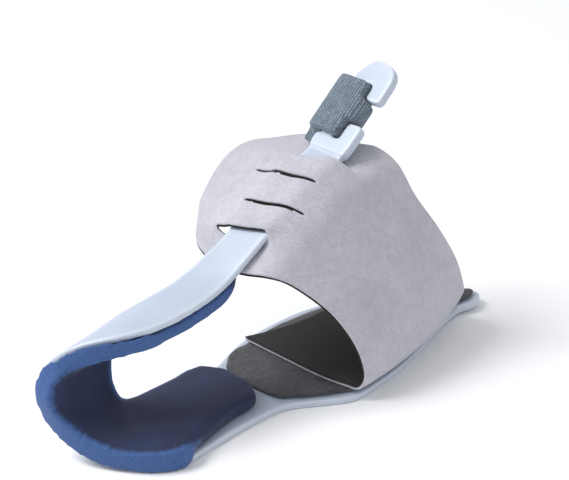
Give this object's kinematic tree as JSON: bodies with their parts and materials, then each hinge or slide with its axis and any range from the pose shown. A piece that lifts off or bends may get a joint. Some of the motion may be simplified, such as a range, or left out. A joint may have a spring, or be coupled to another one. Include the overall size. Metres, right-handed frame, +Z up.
{
  "type": "bunion corrector",
  "caption": "Bunion corrector splint for the right foot: moulded sole plate, toe hook and tension arm with foam toe pad, slitted soft instep band and wound tension strap.",
  "frame": {"origin": "centre of the bounding box in plan, at the floor the sole plate stands on", "axes": "+X towards the heel, -X towards the toes; -Y the inner side of the foot (big toe side), +Y the outer side; +Z up"},
  "size_m": [0.1428, 0.0572, 0.0796],
  "materials": {
    "splint_plastic": "semi-gloss pale blue-grey moulded plastic",
    "toe_pad_foam": "matt blue closed-cell foam with a fine cloth face",
    "sole_lining_fabric": "dark grey brushed lining",
    "instep_band_velour": "light lilac-grey velour with a dark inner face",
    "tension_strap_knit": "slate grey-blue ribbed elastic knit"
  },
  "bodies": {
    "root": {"splint": "splint_plastic", "toe_pad": "toe_pad_foam", "sole_lining": "sole_lining_fabric", "instep_band": "instep_band_velour", "tension_strap": "tension_strap_knit"}
  },
  "joints": []
}
